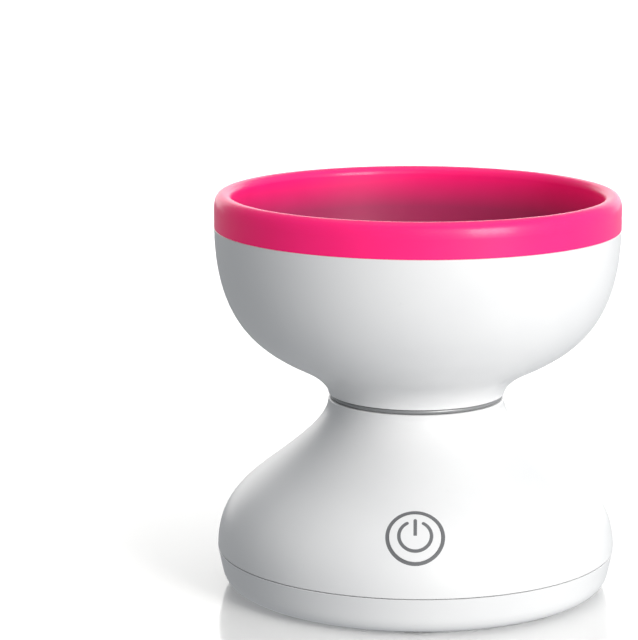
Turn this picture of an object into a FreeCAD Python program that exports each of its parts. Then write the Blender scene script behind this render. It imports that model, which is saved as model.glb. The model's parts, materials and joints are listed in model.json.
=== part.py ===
import FreeCAD, Part
import math
import os
import Sketcher

# Electric make-up brush cleaner: a waisted white base with a button holds a battery, a motor
# and a two-stage gear train, which turns a white bowl with a lift-out silicone liner.
# Millimetres. The origin is on the ground below the bowl's axis, +Z is up and the button
# faces -Y.

doc = FreeCAD.newDocument("brush_cleaner")
sheet = doc.addObject("Spreadsheet::Sheet", "dims")

DIMS = [
    # outside of the base
    ("base_r", 52.5, "outside radius of the base at its seam"),
    ("seam_z", 10.6, "height of the seam between dome and bottom cover"),
    ("seam_gap", 0.25, "open height of the seam"),
    ("bevel", 0.3, "bevel on the edges of the moulded pieces"),
    ("joint_bevel", 0.1, "bevel on both edges of the seam and of the rim's joint"),
    ("wall", 2.2, "wall of the moulded pieces"),
    ("dome_top", 50.6, "top of the dome"),
    ("neck_r", 23.2, "outside radius of the neck"),
    ("dome_hip_z", 22.06, "dome outline: height of the hip pole"),
    ("dome_mid_r", 39.85, "dome outline: radius of the middle pole"),
    ("dome_mid_z", 31.78, "dome outline: height of the middle pole"),
    ("dome_waist_z", 44.61, "dome outline: height of the waist pole"),
    ("dome_in_hip_z", 21.42, "dome inside: height of the hip pole"),
    ("dome_in_mid_r", 37.66, "dome inside: radius of the middle pole"),
    ("dome_in_mid_z", 30.36, "dome inside: height of the middle pole"),
    ("dome_in_waist_z", 43.4, "dome inside: height of the waist pole"),
    ("tongue_z", 12.8, "top of the cover's lap inside the dome"),
    ("tongue_play", 0.2, "gap between the lap and the dome"),
    # bottom cover and feet
    ("foot_h", 0.8, "height of the cover above the ground"),
    ("foot_r", 5.0, "radius of a rubber foot"),
    ("foot_seat", 0.8, "depth of a foot's recess"),
    ("foot_ring_r", 40.0, "radius of the circle of feet"),
    ("cover_flat_r", 46.4, "radius where the cover's underside starts to round up"),
    ("cover_turn_r", 50.6, "outline pole of the cover's rounded edge"),
    ("cover_side_r", 51.4, "radius at the top of the rounded edge"),
    ("cover_side_z", 5.3, "height at the top of the rounded edge"),
    ("floor_z", 3.0, "top of the cover's floor"),
    ("post_ring", 30.4, "x and y of the four cover screws"),
    ("post_r", 3.2, "radius of a screw post in the dome"),
    ("post_top", 25.4, "top of the screw posts in the dome"),
    ("post_foot", 6.0, "height where dome posts meet the cover's pillars"),
    ("pillar_r", 4.6, "radius of a pillar in the cover"),
    ("screw_r", 1.5, "shank radius of a cover screw"),
    ("screw_head_r", 2.8, "head radius of a cover screw"),
    ("screw_head_z", 4.2, "height of the seat of a cover screw's head"),
    ("screw_tip_z", 16.0, "height of a cover screw's tip"),
    # inside of the dome and the cover
    ("rib_ring_r", 47.0, "distance of the dome's stiffening ribs from the axis"),
    ("rib_l", 5.0, "length of a stiffening rib"),
    ("rib_t", 1.6, "thickness of a stiffening rib"),
    ("rib_h", 6.0, "height of a stiffening rib"),
    ("rib_z", 14.0, "bottom of the stiffening ribs"),
    ("pilot_r", 1.0, "shank and hole radius of the board, strap and motor screws"),
    ("board_post_r", 2.5, "radius of a main board post"),
    ("board_pilot", 6.0, "depth of the holes in the board posts"),
    ("strap_post_r", 2.6, "radius of a strap post"),
    ("strap_post_h", 2.0, "height of a strap post above the cover's floor"),
    ("cradle_x", 20.0, "distance of a cell cradle from the middle"),
    ("cradle_t", 2.4, "thickness of a cell cradle"),
    ("cradle_w", 17.0, "width of a cell cradle"),
    ("cradle_h", 5.0, "height of a cell cradle before the cell's seat is cut"),
    # neck
    ("ring_r", 22.95, "pole radius of the grey neck ring's rounded outside"),
    ("ring_low_r", 21.6, "radius of the neck ring's bottom edge"),
    ("ring_high_r", 22.4, "radius of the neck ring's top edge"),
    ("ring_in_r", 17.0, "inside radius of the neck ring"),
    ("ring_top", 51.8, "top of the neck ring"),
    ("bush_r", 5.0, "outside radius of a spindle bush"),
    ("bush_bore_r", 3.02, "bore radius of a spindle bush"),
    ("bush_low_z", 42.3, "bottom of the upper bush"),
    ("bush_high_z", 47.3, "top of the upper bush"),
    ("seal_r", 6.6, "outside radius of the shaft seal"),
    ("seal_z", 47.6, "bottom of the shaft seal"),
    ("seal_top", 50.2, "top of the shaft seal"),
    ("neck_tube_r", 8.0, "outside radius of the dome's bush tube"),
    # bowl
    ("bowl_foot_z", 52.0, "underside of the bowl"),
    ("bowl_r", 53.0, "outside radius of the bowl"),
    ("bowl_step_z", 96.0, "height where the bowl's white outside ends"),
    ("bowl_edge_r", 51.8, "outside radius of the bowl's thin top edge"),
    ("bowl_edge_z", 101.8, "top of the bowl's thin edge"),
    ("flare_low_z", 53.3, "bowl outline: pole above the neck"),
    ("flare_mid_r", 25.3, "bowl outline: radius of the flare's pole"),
    ("flare_mid_z", 56.6, "bowl outline: height of the flare's pole"),
    ("flare_end_r", 31.17, "bowl outline: radius where the flare meets the belly"),
    ("flare_end_z", 59.39, "bowl outline: height where the flare meets the belly"),
    ("belly_low_r", 42.96, "bowl outline: radius of the belly's low pole"),
    ("belly_low_z", 64.94, "bowl outline: height of the belly's low pole"),
    ("belly_high_z", 72.4, "bowl outline: height of the belly's high pole"),
    ("bowl_floor", 60.5, "top of the bowl's floor"),
    ("bowl_floor_r", 24.5, "radius of the flat of the bowl's floor"),
    ("bowl_in_turn_r", 28.36, "bowl inside: pole where the floor turns up"),
    ("bowl_in_low_r", 30.08, "bowl inside: radius of the first wall pole"),
    ("bowl_in_low_z", 61.31, "bowl inside: height of the first wall pole"),
    ("bowl_in_mid_r", 42.07, "bowl inside: radius of the second wall pole"),
    ("bowl_in_mid_z", 66.91, "bowl inside: height of the second wall pole"),
    ("bowl_in_high_z", 74.19, "bowl inside: height of the third wall pole"),
    ("bowl_in_top_z", 98.7, "bowl inside: height where the wall is upright"),
    ("hub_r", 8.0, "outside radius of the bowl's hub"),
    ("hub_low_z", 52.6, "bottom of the bowl's hub"),
    ("hub_seat_z", 58.7, "top of the hub, under the washer"),
    ("hub_recess_r", 8.5, "radius of the recess round the bowl screw"),
    # silicone liner
    ("liner_gap", 0.3, "gap between liner and bowl"),
    ("liner_wall", 2.0, "wall of the liner"),
    ("rim_top", 105.0, "top of the liner's rim"),
    ("rim_skirt_z", 96.05, "bottom of the rim's skirt"),
    ("liner_low_z", 60.85, "underside of the liner's floor"),
    ("liner_floor", 62.85, "top of the liner's floor"),
    ("liner_out_turn_r", 28.41, "liner outside: pole where the floor turns up"),
    ("liner_out_low_r", 30.13, "liner outside: radius of the first wall pole"),
    ("liner_out_low_z", 61.66, "liner outside: height of the first wall pole"),
    ("liner_out_mid_r", 41.64, "liner outside: radius of the second wall pole"),
    ("liner_out_mid_z", 67.1, "liner outside: height of the second wall pole"),
    ("liner_out_high_z", 74.09, "liner outside: height of the third wall pole"),
    ("liner_in_turn_r", 28.01, "liner inside: pole where the floor turns up"),
    ("liner_in_low_r", 29.32, "liner inside: radius of the first wall pole"),
    ("liner_in_low_z", 63.47, "liner inside: height of the first wall pole"),
    ("liner_in_mid_r", 39.6, "liner inside: radius of the second wall pole"),
    ("liner_in_mid_z", 68.53, "liner inside: height of the second wall pole"),
    ("liner_in_high_z", 74.21, "liner inside: height of the third wall pole"),
    # spindle
    ("spindle_r", 3.0, "radius of the spindle"),
    ("spindle_low_z", 24.0, "bottom of the spindle"),
    ("clip_low_z", 24.35, "bottom of the spindle's retaining clip"),
    ("clip_t", 0.5, "thickness of the retaining clip"),
    ("clip_groove_r", 2.3, "radius of the spindle in the clip's groove"),
    ("clip_r", 4.8, "outside radius of the retaining clip"),
    ("thrust_r", 5.8, "radius of the thrust washer"),
    ("thrust_t", 0.7, "thickness of the thrust washer"),
    ("thrust_gap", 0.65, "height of the thrust washer above the gear plate"),
    ("washer_r", 6.0, "radius of the bowl's washer"),
    ("washer_t", 0.6, "thickness of the bowl's washer"),
    ("bowl_screw_l", 8.0, "reach of the bowl's screw into the spindle"),
    ("low_head_h", 1.2, "head height of the bowl, strap and board screws"),
    # gear train
    ("plate_z", 27.5, "underside of the gear plate"),
    ("plate_t", 2.0, "thickness of the gear plate and the gear cover"),
    ("plate_r", 38.0, "radius of the gear plate"),
    ("plate_front", 34.0, "distance of the gear plate's cut front from the axis"),
    ("gear_cover_z", 38.5, "underside of the gear cover"),
    ("gear_cover_r", 25.0, "radius of the gear cover"),
    ("gear_post_ring", 22.5, "radius of the circle of gear cover pillars"),
    ("gear_post_r", 2.4, "radius of a gear cover pillar"),
    ("plate_post_ring", 33.0, "radius of the circle of gear plate screws"),
    ("plate_post_r", 3.0, "radius of a gear plate post in the dome"),
    ("plate_post_top", 34.2, "top of the gear plate posts in the dome"),
    ("small_screw_r", 1.25, "shank radius of the gearbox screws"),
    ("small_head_r", 2.3, "head radius of the gearbox screws"),
    ("small_head_h", 1.5, "head height of the gearbox screws"),
    ("slow_module", 0.6, "tooth module of the output pair"),
    ("fast_module", 0.5, "tooth module of the motor pair"),
    ("output_teeth", 48, "teeth of the output gear"),
    ("idler_small_teeth", 12, "teeth of the idler's pinion"),
    ("idler_large_teeth", 40, "teeth of the idler's wheel"),
    ("pinion_teeth", 12, "teeth of the motor pinion"),
    ("backlash", 0.08, "tooth thickness taken off each gear"),
    ("profile_shift", 0.3, "profile shift, added to pinions and taken off wheels"),
    ("idler_angle", 163.5, "direction of the idler from the spindle, degrees"),
    ("motor_angle", 238.8, "direction of the motor from the idler, degrees"),
    ("slow_gear_z", 33.5, "bottom of the output pair's teeth"),
    ("slow_gear_h", 4.0, "face width of the output pair"),
    ("fast_gear_z", 30.5, "bottom of the idler wheel's teeth"),
    ("fast_gear_h", 2.5, "face width of the idler wheel"),
    ("pin_r", 1.0, "radius of the idler pin and the motor shaft"),
    ("pin_play", 0.03, "radial play of the idler on its pin"),
    ("output_hub_r", 6.0, "radius of the output gear's hub"),
    ("output_window_r", 2.6, "radius of the output gear's windows"),
    ("output_window_ring", 9.6, "radius of the circle of the output gear's windows"),
    ("idler_web_r", 2.7, "radius of the idler between its two gears"),
    ("idler_window_r", 1.8, "radius of the idler wheel's windows"),
    ("idler_window_ring", 6.4, "radius of the circle of the idler wheel's windows"),
    ("pinion_gap", 0.9, "height of the motor pinion above the gear plate"),
    ("pinion_h", 3.0, "height of the motor pinion"),
    ("plate_boss_r", 7.5, "radius of the lower bush's boss under the gear plate"),
    ("plate_boss_h", 2.5, "height of the lower bush's boss"),
    ("motor_hole_r", 3.2, "radius of the gear plate's hole for the motor's nose"),
    ("cover_hole_r", 4.5, "radius of the gear cover's hole for the spindle"),
    # motor
    ("motor_r", 10.0, "radius of the motor's round sides"),
    ("motor_flat", 15.1, "width of the motor across its flats"),
    ("motor_can_z", 6.5, "bottom of the motor's steel can"),
    ("can_t", 0.8, "sheet thickness of the motor's can"),
    ("end_bell_z", 4.5, "bottom of the motor's end bell"),
    ("magnet_in_r", 6.5, "inside radius of the magnets"),
    ("armature_r", 6.1, "radius of the armature"),
    ("motor_screw_reach", 5.0, "distance of a motor screw from the motor's axis"),
    ("nose_r", 3.1, "radius of the bosses at the motor's ends"),
    ("nose_h", 1.4, "height of the motor's front boss"),
    ("terminal_w", 2.0, "width of a motor terminal"),
    ("terminal_l", 6.1, "length of a motor terminal"),
    ("terminal_t", 0.5, "thickness of a motor terminal"),
    ("terminal_x", 3.0, "distance of a motor terminal from the motor's middle"),
    ("magnet_h", 15.0, "height of the magnets"),
    ("core_h", 9.0, "height of the armature's core"),
    ("core_slot_r", 1.9, "radius of the core's slots"),
    ("core_slot_ring", 3.9, "radius of the circle of the core's slots"),
    ("coil_end_r", 5.6, "outside radius of the windings' ends"),
    ("coil_end_h", 1.8, "height of the windings' ends"),
    ("commutator_r", 2.3, "radius of the commutator"),
    ("commutator_h", 2.4, "height of the commutator"),
    ("shaft_l", 29.0, "length of the motor shaft"),
    # battery
    ("cell_r", 9.1, "radius of the cell"),
    ("cell_l", 65.0, "length of the cell"),
    ("cell_y", 16.0, "y of the cell's axis"),
    ("cell_z", 13.2, "height of the cell's axis"),
    ("cell_nub_r", 2.8, "radius of the cell's raised contact"),
    ("cell_nub_h", 0.6, "height of the cell's raised contact"),
    ("tab_t", 0.2, "thickness of a cell tab"),
    ("tab_w", 6.0, "width of a cell tab"),
    ("tab_h", 12.0, "height of a cell tab"),
    ("strap_t", 0.8, "thickness of the cell's strap"),
    ("strap_w", 8.0, "width of the cell's strap"),
    ("strap_foot", 12.6, "distance of a strap screw from the cell's axis"),
    # main board and inlet
    ("board_w", 26.0, "width of the main board"),
    ("board_y", 28.0, "front edge of the main board"),
    ("board_l", 19.5, "length of the main board"),
    ("board_z", 13.3, "underside of the main board"),
    ("board_t", 1.2, "thickness of the boards"),
    ("inlet_w", 8.94, "width of the charging socket"),
    ("inlet_h", 3.2, "height of the charging socket"),
    ("inlet_l", 7.3, "length of the charging socket"),
    ("inlet_mouth_y", 49.3, "y of the charging socket's mouth"),
    ("inlet_recess_w", 12.6, "width of the recess round the charging socket"),
    ("inlet_recess_h", 6.6, "height of the recess round the charging socket"),
    ("inlet_recess_y", 51.1, "y of the recess's floor"),
    ("inlet_hole_w", 9.5, "width of the hole for the charging socket"),
    ("inlet_hole_h", 3.8, "height of the hole for the charging socket"),
    ("inlet_hole_y", 46.0, "y where the hole for the charging socket starts"),
    ("inlet_corner_r", 1.3, "corner radius of the charging socket"),
    ("inlet_sheet", 0.3, "sheet thickness of the charging socket"),
    ("inlet_back", 0.8, "thickness of the charging socket's back"),
    ("plug_h", 3.0, "height of a board connector"),
    ("plug_w", 5.0, "width of a board connector"),
    ("plug_l", 3.4, "length of a board connector"),
    ("lead_r", 0.6, "radius of an insulated lead"),
    ("lead_z", 24.7, "height of the leads over the cell"),
    # button
    ("button_face_r", 47.1, "distance of the button's centre from the axis"),
    ("button_z", 25.3, "height of the button's centre"),
    ("button_tilt", 42.0, "tilt of the button's axis above level, degrees"),
    ("button_hole_r", 7.45, "radius of the dome's button hole"),
    ("button_ring_in_r", 6.58, "inside radius of the button's ring"),
    ("button_cap_r", 6.48, "radius of the button's cap"),
    ("symbol_r", 4.07, "centre-line radius of the power symbol"),
    ("symbol_line", 0.88, "line width of the power symbol"),
    ("symbol_gap", 60.0, "opening of the power symbol's arc, degrees"),
    ("symbol_rise", 0.25, "height of the arc's centre above the button's centre"),
    ("bar_low", 0.25, "distance of the power symbol's bar from the button's centre"),
    ("bar_high", 4.6, "distance of the bar's round top from the button's centre"),
    ("symbol_depth", 0.5, "depth of the power symbol's inlay"),
    ("button_ring_depth", 4.4, "depth of the button's ring behind the dome's surface"),
    ("flange_r", 8.4, "radius of the flange behind the button's ring"),
    ("flange_t", 0.8, "thickness of the flange"),
    ("button_cap_depth", 3.4, "depth of the cap's disc behind the dome's surface"),
    ("button_stem_r", 2.5, "radius of the cap's stem"),
    ("switch_w", 6.0, "width of the switch body"),
    ("switch_board_w", 26.0, "width of the switch board"),
    ("switch_board_h", 9.0, "height of the switch board"),
    ("switch_post_r", 1.8, "radius of a switch board post"),
    ("switch_screw_r", 0.8, "shank radius of the switch board's screws"),
    ("plunger_l", 1.6, "length of the switch plunger"),
    ("switch_face", 8.5, "depth of the switch board behind the dome's surface"),
    ("switch_h", 3.1, "height of the switch body"),
    ("plunger_r", 1.7, "radius of the switch plunger"),
    ("switch_post_x", 10.6, "distance of a switch board screw from the button's axis"),
]


class Size:
    """A length that carries its number and its spreadsheet formula together."""

    def __init__(self, value, text=None):
        self.value = float(value)
        self.text = text or repr(float(value))

    def joined(self, sign, other, value):
        return Size(value, f"({self.text} {sign} {other.text})")

    def __add__(self, other):
        other = size(other)
        return self.joined("+", other, self.value + other.value)

    def __sub__(self, other):
        other = size(other)
        return self.joined("-", other, self.value - other.value)

    def __mul__(self, other):
        other = size(other)
        return self.joined("*", other, self.value * other.value)

    def __truediv__(self, other):
        other = size(other)
        return self.joined("/", other, self.value / other.value)

    def __radd__(self, other):
        return size(other) + self

    def __rsub__(self, other):
        return size(other) - self

    def __rmul__(self, other):
        return size(other) * self

    def __neg__(self):
        return Size(-self.value, f"(0 - {self.text})")


def size(value):
    return value if isinstance(value, Size) else Size(value)


class Dimensions:
    """Every driving dimension, by its alias in the sheet."""

    def __init__(self, rows):
        for row, (alias, value, note) in enumerate(rows, start=1):
            sheet.set(f"A{row}", alias)
            sheet.set(f"B{row}", str(value))
            sheet.set(f"C{row}", note)
            sheet.setAlias(f"B{row}", alias)
        doc.recompute()
        for alias, value, note in rows:
            setattr(self, alias, Size(sheet.get(alias), f"dims.{alias}"))


D = Dimensions(DIMS)
UP = FreeCAD.Vector(0, 0, 1)
ALONG_X = FreeCAD.Vector(1, 0, 0)
ALONG_Y = FreeCAD.Vector(0, 1, 0)
NODES = {}


# ---------------------------------------------------------------- building blocks

def bind(item, name, value):
    """Sets a property from a size, keeping the sheet's formula where there is one."""
    item.setExpression(name, size(value).text)


def place(item, base, axis=UP, angle=0):
    """Stands the item's +Z along an axis at a base point; angle turns it about +Z."""
    turn = FreeCAD.Rotation(UP, axis).multiply(FreeCAD.Rotation(UP, angle))
    point = [size(value) for value in base]
    item.Placement = FreeCAD.Placement(FreeCAD.Vector(*[value.value for value in point]), turn)
    for name, value in zip("xyz", point):
        item.setExpression(f"Placement.Base.{name}", value.text)
    return item


def cylinder(radius, height, base=(0, 0, 0), axis=UP, sweep=360, angle=0):
    item = doc.addObject("Part::Cylinder", "round")
    bind(item, "Radius", radius)
    bind(item, "Height", height)
    bind(item, "Angle", sweep)
    return place(item, base, axis, angle)


def block(width, depth, height, middle, turn=0):
    """A box centred on middle in x and y, with its underside at middle's z."""
    item = doc.addObject("Part::Box", "block")
    bind(item, "Length", width)
    bind(item, "Width", depth)
    bind(item, "Height", height)
    if turn:
        corner = FreeCAD.Rotation(UP, turn).multVec(
            FreeCAD.Vector(-size(width).value / 2, -size(depth).value / 2, 0))
        return place(item, (middle[0] + corner.x, middle[1] + corner.y, middle[2]), UP, turn)
    return place(item, (middle[0] - width / 2, middle[1] - depth / 2, middle[2]))


def fused(*items):
    if len(items) == 1:
        return items[0]
    item = doc.addObject("Part::MultiFuse", "joined")
    item.Shapes = list(items)
    return item


def cut(base, *tools):
    item = doc.addObject("Part::Cut", "cut")
    item.Base = base
    item.Tool = fused(*tools)
    return item


def common(first, second):
    item = doc.addObject("Part::Common", "shared")
    item.Base = first
    item.Tool = second
    return item


def node(name, item):
    """Files the finished sub-part under its node name."""
    item.Label = name
    NODES[name] = item
    return item


def fix_point(sketch, geometry, position, point):
    """Holds one sketch point at its two sizes; a zero puts it on the sketch's axis."""
    for kind, axis, value in (("DistanceX", -2, point[0]), ("DistanceY", -1, point[1])):
        value = size(value)
        if value.value == 0:
            sketch.addConstraint(Sketcher.Constraint("PointOnObject", geometry, position, axis))
            continue
        index = sketch.addConstraint(
            Sketcher.Constraint(kind, -1, 1, geometry, position, value.value))
        sketch.setExpression(f"Constraints[{index}]", value.text)


def flat(point):
    return FreeCAD.Vector(size(point[0]).value, size(point[1]).value, 0)


def spline(poles):
    """A clamped curve through its end poles: degree 2 for three poles, 3 for more."""
    degree = min(3, len(poles) - 1)
    inner = len(poles) - degree - 1
    curve = Part.BSplineCurve()
    curve.buildFromPolesMultsKnots(
        [flat(pole) for pole in poles],
        [degree + 1] + [1] * inner + [degree + 1],
        [step / (inner + 1) for step in range(inner + 2)],
        False, degree)
    return curve


def draw_outline(sketch, points):
    """Draws a closed outline. A point is reached by a straight line, and a list of points
    by a curve whose poles they are, from the point before it."""
    start = points[0]
    here = start
    ends = []
    for target in list(points[1:]) + [start]:
        if isinstance(target, list):
            poles = [here] + target
            geometry = sketch.addGeometry(spline(poles), False)
            sketch.exposeInternalGeometry(geometry)
            for number, pole in enumerate(poles[1:-1], start=2):
                fix_point(sketch, geometry + number, 3, pole)
            target = target[-1]
        else:
            line = Part.LineSegment(flat(here), flat(target))
            geometry = sketch.addGeometry(line, False)
        fix_point(sketch, geometry, 1, here)
        if ends:
            sketch.addConstraint(Sketcher.Constraint("Coincident", ends[-1], 2, geometry, 1))
        ends.append(geometry)
        here = target
    sketch.addConstraint(Sketcher.Constraint("Coincident", ends[-1], 2, ends[0], 1))


def body_sketch(name, plane, points, offset=0):
    body = doc.addObject("PartDesign::Body", name)
    sketch = body.newObject("Sketcher::SketchObject", f"{name}_outline")
    origin = [item for item in body.Origin.OriginFeatures if item.Role == plane][0]
    sketch.AttachmentSupport = [(origin, "")]
    sketch.MapMode = "FlatFace"
    bind(sketch, "AttachmentOffset.Base.z", offset)
    draw_outline(sketch, points)
    return body, sketch


def turned(name, points):
    """A body of revolution about Z from its outline in radius and height."""
    body, sketch = body_sketch(name, "XZ_Plane", points)
    feature = body.newObject("PartDesign::Revolution", f"{name}_turned")
    feature.Profile = sketch
    feature.ReferenceAxis = (sketch, ["V_Axis"])
    feature.Angle = 360
    sketch.Visibility = False
    return body


def around(radius, angles):
    """Points on a circle about Z, as sizes."""
    return [(radius * math.cos(math.radians(angle)), radius * math.sin(math.radians(angle)))
            for angle in angles]


def screw(name, places, head_r, head_h, shank_r, seat_z, tip_z, up):
    """Pan-head screws with a cross slot, in one node. up says that the head is below."""
    pieces = []
    for x, y in places:
        low_head = seat_z - head_h if up else seat_z
        head = cylinder(head_r, head_h, (x, y, low_head))
        slot_h = head_h * 0.5
        slot_z = low_head if up else seat_z + head_h - slot_h
        slots = [block(head_r * 1.1, 0.5, slot_h, (x, y, slot_z)),
                 block(0.5, head_r * 1.1, slot_h, (x, y, slot_z))]
        shank = (cylinder(shank_r, tip_z - seat_z, (x, y, seat_z)) if up
                 else cylinder(shank_r, seat_z - tip_z, (x, y, tip_z)))
        pieces.append(fused(cut(head, *slots), shank))
    return node(name, fused(*pieces))


# ---------------------------------------------------------------- places

SLOW_REACH = D.slow_module * (D.output_teeth + D.idler_small_teeth) / 2
FAST_REACH = D.fast_module * (D.idler_large_teeth + D.pinion_teeth) / 2
IDLER = around(SLOW_REACH, [D.idler_angle.value])[0]
MOTOR_STEP = around(FAST_REACH, [D.motor_angle.value])[0]
MOTOR = (IDLER[0] + MOTOR_STEP[0], IDLER[1] + MOTOR_STEP[1])
COVER_POSTS = [(x * D.post_ring, y * D.post_ring)
               for x, y in ((1, 1), (-1, 1), (-1, -1), (1, -1))]
FEET = around(D.foot_ring_r, (0, 90, 180, 270))
PLATE_POSTS = around(D.plate_post_ring, (0, 120, 240))
GEAR_POSTS = around(D.gear_post_ring, (0, 90, 270))
MOTOR_SCREWS = [(MOTOR[0] + x, MOTOR[1] + y)
                for x, y in around(D.motor_screw_reach,
                                   (D.motor_angle.value + 90, D.motor_angle.value - 90))]
BOARD_POSTS = [(side * 10.5, y) for side in (1, -1) for y in (31.5, 43.0)]
STRAP_POSTS = [(0, D.cell_y + D.strap_foot), (0, D.cell_y - D.strap_foot)]
SWITCH_POSTS = [(-D.switch_post_x, 0), (D.switch_post_x, 0)]
MOTOR_PLUG = (-6.0, 30.3)
SWITCH_PLUG = (2.0, 30.3)
BATTERY_PLUG = (7.0, 35.4)
PLATE_TOP = D.plate_z + D.plate_t
COVER_TOP = D.gear_cover_z + D.plate_t
DOME_LOW = D.seam_z + D.seam_gap / 2
LAP_Z = D.seam_z - D.seam_gap / 2

TILT = math.radians(D.button_tilt.value)
OUTWARD = FreeCAD.Vector(0, -math.cos(TILT), math.sin(TILT))
UPHILL = FreeCAD.Vector(0, math.sin(TILT), math.cos(TILT))
BUTTON_FRAME = FreeCAD.Placement(
    FreeCAD.Vector(0, -D.button_face_r.value, D.button_z.value),
    FreeCAD.Rotation(FreeCAD.Vector(1, 0, 0), UPHILL, OUTWARD, "ZXY"))


def at_button(item):
    """Moves a primitive made about the button's own axis to its place on the dome."""
    local = FreeCAD.Placement(item.Placement)
    for name in "xyz":
        item.setExpression(f"Placement.Base.{name}", None)
    item.Placement = BUTTON_FRAME.multiply(local)
    return item


# ---------------------------------------------------------------- base mouldings

def dome_curve():
    """The dome's outside, from the seam up to the neck."""
    return [(D.base_r, D.dome_hip_z), (D.dome_mid_r, D.dome_mid_z),
            (D.neck_r, D.dome_waist_z), (D.neck_r, D.dome_top - D.bevel)]


def dome_form():
    """The dome as a full solid, for pieces that end on its surface."""
    return turned("dome_form", [
        (0, D.seam_z), (D.base_r, D.seam_z), dome_curve(),
        (0, D.dome_top - D.bevel)])


def stadium_hole(width, height, near, far):
    """A round-ended slot through the back wall, along Y at the inlet's height."""
    middle_z = D.board_z + D.board_t + D.inlet_h / 2
    half = (width - height) / 2
    ends = [cylinder(height / 2, far - near, (side * half, near, middle_z), ALONG_Y)
            for side in (1, -1)]
    return fused(block(half * 2, far - near, height, (size(0), (near + far) / 2,
                                                      middle_z - height / 2)), *ends)


def base_shell():
    inner_r = D.base_r - D.wall
    shell = turned("dome_wall", [
        (D.base_r - D.joint_bevel, DOME_LOW),
        (D.base_r, DOME_LOW + D.joint_bevel),
        dome_curve(),
        (D.neck_r - D.bevel, D.dome_top),
        (D.seal_r, D.dome_top),
        (D.seal_r, D.bush_high_z),
        (D.bush_r, D.bush_high_z),
        (D.bush_r, D.bush_low_z),
        (D.neck_tube_r, D.bush_low_z),
        (D.neck_tube_r, D.dome_top - D.wall),
        (D.neck_r - D.wall, D.dome_top - D.wall),
        [(D.neck_r - D.wall, D.dome_in_waist_z), (D.dome_in_mid_r, D.dome_in_mid_z),
         (inner_r, D.dome_in_hip_z), (inner_r, DOME_LOW)]])
    added = []
    removed = []
    for number, (x, y) in enumerate(COVER_POSTS):
        added.append(cylinder(D.post_r, D.post_top - D.post_foot, (x, y, D.post_foot)))
        angle = 45 + 90 * number
        rib_x, rib_y = around(D.rib_ring_r, [angle])[0]
        added.append(block(D.rib_l, D.rib_t, D.rib_h, (rib_x, rib_y, D.rib_z), angle))
        removed.append(cylinder(D.screw_r, D.screw_tip_z + 1 - D.post_foot, (x, y, D.post_foot)))
    for x, y in PLATE_POSTS:
        added.append(cylinder(D.plate_post_r, D.plate_post_top - PLATE_TOP, (x, y, PLATE_TOP)))
        removed.append(cylinder(D.small_screw_r, size(4.0), (x, y, PLATE_TOP)))
    for x, y in SWITCH_POSTS:
        added.append(at_button(cylinder(D.switch_post_r, D.switch_face - 1.8,
                                        (x, y, -D.switch_face))))
        removed.append(at_button(cylinder(D.switch_screw_r, 4.0, (x, y, -D.switch_face))))
    removed.append(at_button(cylinder(D.button_hole_r, 12.0, (0, 0, -6.0))))
    outside_y = D.base_r + 3.5
    removed.append(stadium_hole(D.inlet_recess_w, D.inlet_recess_h, D.inlet_recess_y, outside_y))
    removed.append(stadium_hole(D.inlet_hole_w, D.inlet_hole_h, D.inlet_hole_y, outside_y))
    return node("base_shell", cut(fused(shell, *added), *removed))


def bottom_cover():
    tongue_r = D.base_r - D.wall - D.tongue_play
    tongue_in_r = tongue_r - 1.5
    plate = turned("cover_wall", [
        (0, D.foot_h),
        (D.cover_flat_r, D.foot_h),
        [(D.cover_turn_r, D.foot_h), (D.cover_side_r, D.cover_side_z)],
        (D.base_r - 0.02, LAP_Z - D.joint_bevel),
        (D.base_r - D.joint_bevel, LAP_Z),
        (tongue_r, LAP_Z),
        (tongue_r, D.tongue_z),
        (tongue_in_r, D.tongue_z),
        (tongue_in_r, D.seam_z - 1.5),
        (tongue_r - 0.5, D.seam_z - 2.5),
        (D.cover_side_r - D.wall, D.cover_side_z + 0.5),
        [(D.cover_side_r - D.wall, D.floor_z), (D.cover_flat_r - 1.0, D.floor_z)],
        (0, D.floor_z)])
    added = []
    removed = []
    for x, y in COVER_POSTS:
        added.append(cylinder(D.pillar_r, D.post_foot - D.floor_z, (x, y, D.floor_z)))
        removed.append(cylinder(D.screw_r + 0.2, D.post_foot, (x, y, 0)))
        removed.append(cylinder(D.screw_head_r + 0.2, D.screw_head_z, (x, y, 0)))
    for x, y in FEET:
        removed.append(cylinder(D.foot_r, D.foot_h + D.foot_seat, (x, y, 0)))
    for x, y in BOARD_POSTS:
        added.append(cylinder(D.board_post_r, D.board_z - D.floor_z, (x, y, D.floor_z)))
        removed.append(cylinder(D.pilot_r, D.board_pilot, (x, y, D.board_z - D.board_pilot)))
    for x, y in STRAP_POSTS:
        added.append(cylinder(D.strap_post_r, D.strap_post_h, (x, y, D.floor_z)))
        removed.append(cylinder(D.pilot_r, D.strap_post_h + 1.2, (x, y, D.floor_z - 1.2)))
    for side in (1, -1):
        added.append(block(D.cradle_t, D.cradle_w, D.cradle_h,
                           (side * D.cradle_x, D.cell_y, D.floor_z)))
    removed.append(cylinder(D.cell_r, D.cell_l, (-D.cell_l / 2, D.cell_y, D.cell_z), ALONG_X))
    return node("bottom_cover", cut(fused(plate, *added), *removed))


def rubber_feet():
    top = D.foot_h + D.foot_seat
    feet = []
    for number, (x, y) in enumerate(FEET):
        foot = turned(f"foot_{number}", [
            (0, 0), (D.foot_r - 0.4, 0), [(D.foot_r, 0), (D.foot_r, 0.4)], (D.foot_r, top),
            (0, top)])
        feet.append(place(foot, (x, y, 0)))
    return node("rubber_feet", fused(*feet))


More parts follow.
